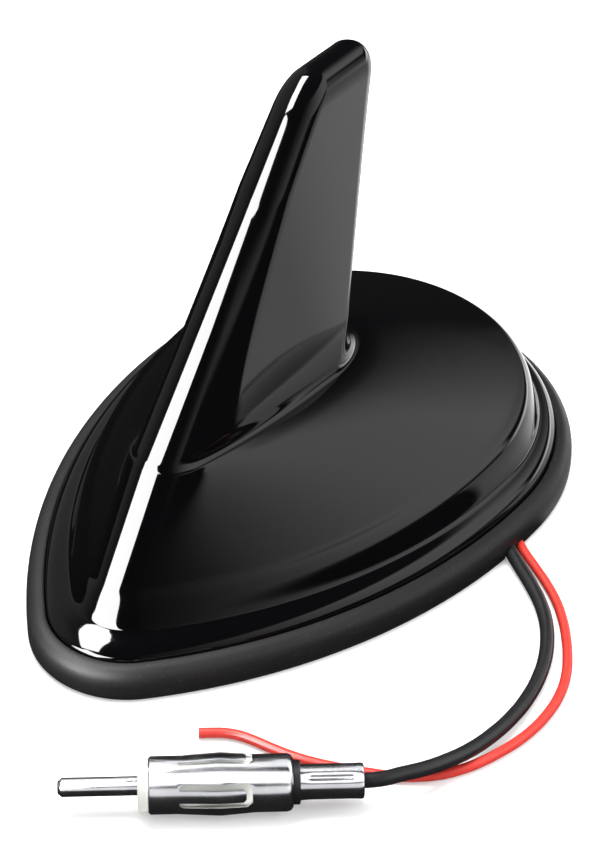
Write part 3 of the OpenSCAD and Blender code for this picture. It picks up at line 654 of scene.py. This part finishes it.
# %% [markdown]
# ## The rubber rim
# The gasket is a soft moulded band round the housing. A curve with its own bevel profile
# could make it, but the section would keep one size at the tight nose. So the section is
# drawn once as insets and heights, and each of its points follows the outline at its own
# inset. Two channels let the cables out under its edge. They are cut with a Boolean
# modifier, because they cross the band at a slant.

# %% Gasket section and band
GASKET_SIDES = 288
lip = [(0.7, 0), (0.2, 0.3), (0, 0.9), (0, 2.4), (0.1, 3.6), (0.5, 4.8), (1.2, GASKET_H - 0.7),
       (2, GASKET_H - 0.2), (LIP_W - 0.2, GASKET_H), (LIP_W, GASKET_H - 0.3)]
seat = [(LIP_W, GASKET_FLOOR), (GASKET_IN, GASKET_FLOOR), (GASKET_IN, 0)]
section = [tuple(p) for p in rounded([np.array(p, float) for p in lip], 2)] + seat
band = [level_ring(base_level(inset, height, height), GASKET_SIDES) for inset, height in section]
gasket = make_piece("gasket", *loft(band, loop=True))
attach(gasket, "root")
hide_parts("rim_gasket")


# %% Cable channels
EXIT_WAY, EXIT_SIDE = np.array((-0.6, -0.8, 0)), np.array((0.8, -0.6, 0))
CHANNEL_OUT, CHANNEL_IN, BELOW_FLOOR, ROOF_POINTS = 6.0, 16.0, 1.0, 13


def apply_modifiers(piece):
    """Bakes a piece's modifiers into its mesh."""
    graph = bpy.context.evaluated_depsgraph_get()
    mesh = bpy.data.meshes.new_from_object(piece.evaluated_get(graph))
    piece.modifiers.clear()
    piece.data = mesh


def cut(piece, tools):
    """Takes the tools' volumes out of a piece and deletes the tools."""
    for tool in tools:
        step = piece.modifiers.new("cut", "BOOLEAN")
        step.operation = "DIFFERENCE"
        step.solver = "EXACT"
        step.object = tool
    apply_modifiers(piece)
    for tool in tools:
        bpy.data.objects.remove(tool)
    settle(piece)


def channel(name, at, diameter):
    """A tunnel with a round roof and straight sides down to the floor, along the exit."""
    r = diameter / 2 + SEAT_GAP
    roof = [(-r * math.cos(a), at[2] + r * math.sin(a)) for a in np.linspace(0, math.pi, ROOF_POINTS)]
    arch = [(-r, -BELOW_FLOOR), *roof, (r, -BELOW_FLOOR)]
    start = np.array((at[0], at[1], 0.0))
    rings = [[start + EXIT_WAY * s + EXIT_SIDE * u + np.array((0, 0, z)) for u, z in arch]
             for s in (CHANNEL_OUT, -CHANNEL_IN)]
    return make_piece(name, *loft(rings))


cut(gasket, [channel("coax_channel", COAX_ROUTE[0], COAX_D),
             channel("power_channel", power_route[0], POWER_D)])
print("gasket", len(gasket.data.polygons), "faces")

# %% [markdown]
# ## Matte rubber
# Moulded rubber is a very dark grey with a soft, wide sheen, so its roughness is well above
# the plastic's and its reflection weaker. A fine noise is its grain, a wide one is where
# hands have rubbed it, and the peaks of a third, picked out by a threshold, are dust.

# %% Rubber
rubber = Shader("rim_rubber")
grain = rubber.noise(0.35, 3)
dust = rubber.noise(0.5, 1) > 0.72
scuffs = rubber.noise(6, 4)
rubber.surface(rubber.blend(dust * 0.2, (0.008, 0.008, 0.009), (0.12, 0.12, 0.125)),
               Roughness=0.36 + grain * 0.12 + scuffs * 0.16, Normal=rubber.bump(grain, 0.03),
               **{"Specular IOR Level": 0.36})
wear(gasket, rubber.block)
print("rubber", len(rubber.tree.nodes), "nodes")

# %% [markdown]
# ## The plug
# The plug is turned and rolled metal. A Screw modifier could turn its profiles, but rings
# made by one function can also be dented, as the crimped ferrule needs. So each part starts
# as a profile that is revolved round the plug's axis. The rolled shell has four windows with
# spring tongues. They are cut from the revolved shell, and a small bevel then catches the
# light on the sheet's edges.

# %% Plug frame and revolve
PIN_D, PIN_L, SHELL_D, SHELL_L = 3.2, 13.3, 9.6, 24.0
FERRULE_D, FERRULE_L, SHELL_T, BULGE = 6.0, 10.6, 0.5, 0.42
COLLAR_L, COLLAR_T, INSULATOR_OUT, FERRULE_IN, PIN_IN = 1.2, 0.7, 1.6, 3, 8
shell_x = FERRULE_L + COLLAR_L
shell_end = shell_x + SHELL_L
insulator_end = shell_end + INSULATOR_OUT
collar_r = FERRULE_D / 2 + COLLAR_T
collar_end = shell_x + COLLAR_L
ferrule_end = shell_x + FERRULE_IN
turn_plug = np.array(Matrix.Rotation(PLUG_TURN, 3, "Z") @ Matrix.Rotation(math.pi / 2, 3, "Y"))


def in_plug_frame(points):
    """Points given round the plug's own axis, moved to the row's frame."""
    return np.asarray(points) @ turn_plug.T + np.array(PLUG_AT)


def revolve(profile, sides):
    """Rings of a profile of (radius, distance) pairs turned round the plug's axis."""
    angles = np.arange(sides) * 2 * math.pi / sides
    return [in_plug_frame([(r * math.cos(a), r * math.sin(a), z) for a in angles]) for r, z in profile]


def plug_part(name, rings, node, loop=False):
    """A part of the plug from its rings, in the place of its solid."""
    piece = make_piece(name, *loft(rings, loop))
    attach(piece, "root")
    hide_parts(node)
    print(name, len(piece.data.polygons), "faces")
    return piece


def bevel(piece, width):
    """Rounds a piece's sharp edges by a width in millimetres."""
    step = piece.modifiers.new("edge", "BEVEL")
    step.width = width * MM
    step.segments = 2
    step.limit_method = "ANGLE"
    step.angle_limit = SHARP
    apply_modifiers(piece)
    settle(piece)


# %% Shell with windows
WINDOWS, WINDOW_TURN, SHEET_EDGE = 4, 20, 0.07
WINDOW_W, TONGUE_W, CORNER, CUT_FROM, CUT_TO = 4.2, 2.2, 0.9, 2.0, 7.0
window_l = SHELL_L / 2
window_x, bulge_start, bulge_x, bulge_end = (shell_x + SHELL_L * share for share in (0.28, 0.26, 0.5, 0.8))
r = SHELL_D / 2
inner_r = r - SHELL_T
shell_profile = [(collar_r, shell_x), (r - 0.7, shell_x), (r - 0.2, shell_x + 0.4), (r, shell_x + 1),
                 (r, bulge_start), (r + BULGE, bulge_x), (r, bulge_end), (r, shell_end - 0.4),
                 (r - 0.4, shell_end), (inner_r, shell_end), (inner_r, bulge_end),
                 (inner_r + BULGE, bulge_x), (inner_r, bulge_start), (inner_r, collar_end),
                 (collar_r, collar_end)]
plug_shell = plug_part("shell", revolve(shell_profile, 96), "plug_shell", loop=True)

half_w, half_t = WINDOW_W / 2, TONGUE_W / 2
slot_outline = [(half_w - CORNER, 0), (half_w, CORNER), (half_w, window_l - 0.6), (half_w - 0.5, window_l),
                (half_t, window_l), (half_t, 1.5), (half_t - 0.5, 1.0)]
slot_outline += [(-u, z) for u, z in reversed(slot_outline)]


def window_tool(number):
    """The slot round one tongue, as a block that points out from the axis."""
    a = math.radians(360 / WINDOWS * number + WINDOW_TURN)
    c, s = math.cos(a), math.sin(a)
    rings = [in_plug_frame([(c * u - s * out, s * u + c * out, window_x + z) for u, z in slot_outline])
             for out in (CUT_FROM, CUT_TO)]
    n = len(slot_outline)
    points = [p for ring in rings for p in ring]
    faces = [tuple(range(n)), tuple(range(2 * n - 1, n - 1, -1))]
    faces += [(i, (i + 1) % n, n + (i + 1) % n, n + i) for i in range(n)]
    return make_piece(f"window_{number}", points, faces)


cut(plug_shell, [window_tool(i) for i in range(WINDOWS)])
bevel(plug_shell, SHEET_EDGE)

# %% Pin, insulator, collar and ferrule
pin_r = PIN_D / 2
pin_tip = insulator_end + PIN_L
pin_profile = [(pin_r, shell_end - PIN_IN), (pin_r, insulator_end + 1), (pin_r, pin_tip - 0.75),
               (pin_r - 0.06, pin_tip - 0.6), (pin_r - 0.5, pin_tip - 0.06), (pin_r - 0.62, pin_tip)]
plug_pin = plug_part("pin", revolve(pin_profile, 64), "plug_pin")

core_r = inner_r - SEAT_GAP
lip_r = r - 0.3
insulator_profile = [(core_r, ferrule_end), (core_r, shell_end), (lip_r - 0.1, shell_end),
                     (lip_r, shell_end + 0.12), (lip_r, insulator_end - 0.3),
                     (lip_r - 0.3, insulator_end), (pin_r + 0.5, insulator_end),
                     (pin_r + 0.35, insulator_end - 0.25), (pin_r, insulator_end - 0.3)]
plug_insulator = plug_part("insulator", revolve(insulator_profile, 64), "plug_insulator")

ferrule_r = FERRULE_D / 2
collar_profile = [(ferrule_r, FERRULE_L), (collar_r - 0.2, FERRULE_L), (collar_r, FERRULE_L + 0.2),
                  (collar_r, collar_end), (ferrule_r, collar_end)]
plug_collar = plug_part("collar", revolve(collar_profile, 64), "plug_sleeve", loop=True)

FERRULE_SIDES = 96
CREASE, CREASE_W, CREASES = 0.35, 0.16, (0.9, 2.6, 4.1, 5.7)


def ferrule_ring(radius, z, share):
    """A ring of the ferrule, dented along four lines where the tool pressed it."""
    ring = []
    for i in range(FERRULE_SIDES):
        a = 2 * math.pi * i / FERRULE_SIDES
        dent = sum(math.exp(-(math.remainder(a - at, 2 * math.pi) / CREASE_W) ** 2) for at in CREASES)
        r = radius - CREASE * share * dent
        ring.append((r * math.cos(a), r * math.sin(a), z))
    return in_plug_frame(ring)


# Each step of this profile is a radius, a distance and the share of the full crease.
bore_r = COAX_D / 2 + SEAT_GAP / 2
ferrule_profile = [(bore_r, PLUG_GRIP, 0), (bore_r, 0, 0), (ferrule_r - 0.5, 0, 0),
                   (ferrule_r - 0.12, 0.12, 0), (ferrule_r, 0.5, 0), (ferrule_r, 1.4, 0.4),
                   (ferrule_r, 2.2, 1), (ferrule_r, FERRULE_L - 2, 1),
                   (ferrule_r, FERRULE_L - 1.2, 0.4), (ferrule_r, FERRULE_L - 0.4, 0),
                   (ferrule_r, ferrule_end, 0)]
ferrule_rings = [ferrule_ring(*step) for step in ferrule_profile]
plug_ferrule = plug_part("ferrule", ferrule_rings, "plug_ferrule")

# %% [markdown]
# ## Plated metal, natural plastic and jackets
# Nickel plate is a mirror that has been handled: its colour and its roughness drift a
# little over a few millimetres. So it is fully metallic, and one noise steers both. The
# insulator is an unpigmented moulding, a little green and milky. Cable jackets are satin:
# smooth, with a soft highlight. The three boxes of the plug are linked to its metal here.

# %% Plug and cable materials
nickel = Shader("nickel_plate")
drawn = nickel.noise(0.5, 4)
handled = nickel.noise(4, 4)
nickel.surface(nickel.blend(handled, (0.6, 0.61, 0.65), (0.86, 0.86, 0.88)), Metallic=1.0,
               Roughness=0.1 + handled * 0.1 + drawn * 0.05, Normal=nickel.bump(handled, 0.02))
milky = Shader("milky_plastic")
cloud = milky.noise(1.5, 2)
milky.surface(milky.blend(cloud, (0.64, 0.65, 0.59), (0.74, 0.75, 0.69)), Roughness=0.3 + cloud * 0.1)
collar_black = Shader("collar_black")
collar_grain = collar_black.noise(0.3, 2)
collar_black.surface((0.01, 0.01, 0.011), Roughness=0.3 + collar_grain * 0.15,
                     Normal=collar_black.bump(collar_grain, 0.01))


def jacket(name, dark, light):
    """A satin cable jacket with a faint unevenness from the extruder."""
    shader = Shader(name)
    lay = shader.noise(1.2, 2)
    return shader.surface(shader.blend(lay, dark, light), Roughness=0.28 + lay * 0.1,
                          Normal=shader.bump(lay, 0.02))


black_jacket = jacket("black_jacket", (0.010, 0.010, 0.011), (0.016, 0.016, 0.018))
red_jacket = jacket("red_jacket", (0.62, 0.03, 0.02), (0.72, 0.05, 0.035))
plug_metal = bpy.data.collections.new("plug_metal")
for piece in (plug_shell, plug_pin, plug_ferrule):
    wear(piece, nickel.block)
    plug_metal.objects.link(piece)
for box in plug_boxes:
    box.light_linking.receiver_collection = plug_metal
wear(plug_insulator, milky.block)
wear(plug_collar, collar_black.block)
wear(coax_cable, black_jacket)
wear(power_wire, red_jacket)
print(len(bpy.data.materials), "materials so far")

# %% [markdown]
# A mesh alone doesn't say that it bends.

# %% [markdown]
# ## Parts under the housing
# The parts inside and under the housing keep the solids' own shapes, because those are the
# real ones already. Each gets the finish that it has on a real board: solder mask, tin
# plate, brass, zinc, ferrite, enamelled copper and moulded plastic. One function mottles
# them all, and a dictionary by slot says which finish a solid wears.

# %% Finishes of the inner parts
def finish(name, dark, light, size, roughness, metallic=0.0, depth=0.01):
    """A mottled finish: two colours and a grain of size millimetres."""
    shader = Shader(name)
    mottle = shader.noise(size, 3)
    return shader.surface(shader.blend(mottle, dark, light), Roughness=roughness + mottle * 0.12,
                          Metallic=metallic, Normal=shader.bump(mottle, depth))


finishes = {
    "pad": finish("pad_foam", (0.5, 0.5, 0.47), (0.68, 0.68, 0.64), 0.4, 0.8, depth=0.05),
    "plate": finish("plate_plastic", (0.018, 0.018, 0.02), (0.03, 0.03, 0.033), 0.6, 0.45, depth=0.02),
    "brass": finish("turned_brass", (0.55, 0.36, 0.12), (0.68, 0.47, 0.18), 0.5, 0.25, 1.0),
    "steel": finish("zinc_plate", (0.42, 0.43, 0.45), (0.58, 0.59, 0.6), 0.6, 0.3, 1.0),
    "board": finish("solder_mask", (0.010, 0.075, 0.03), (0.018, 0.11, 0.045), 1.5, 0.3),
    "tin": finish("tin_plate", (0.5, 0.51, 0.52), (0.64, 0.65, 0.66), 0.8, 0.28, 1.0),
    "package": finish("chip_package", (0.014, 0.014, 0.015), (0.024, 0.024, 0.026), 0.3, 0.5),
    "sleeve_blue": finish("capacitor_sleeve", (0.02, 0.035, 0.11), (0.035, 0.055, 0.16), 0.7, 0.3),
    "ferrite": finish("sintered_ferrite", (0.03, 0.03, 0.033), (0.06, 0.06, 0.065), 0.3, 0.6, depth=0.03),
    "copper": finish("enamelled_copper", (0.45, 0.16, 0.05), (0.6, 0.25, 0.09), 0.4, 0.2, 1.0),
    "black_jacket": black_jacket,
    "red_jacket": red_jacket,
}
slots = {part["node"]: part["material_slot"] for part in frame["record"]["subparts"]}
for name, node in frame["nodes"].items():
    if slots[name] in finishes and not node.hide_render:
        wear(node, finishes[slots[name]])
        print(name, "wears", slots[name])
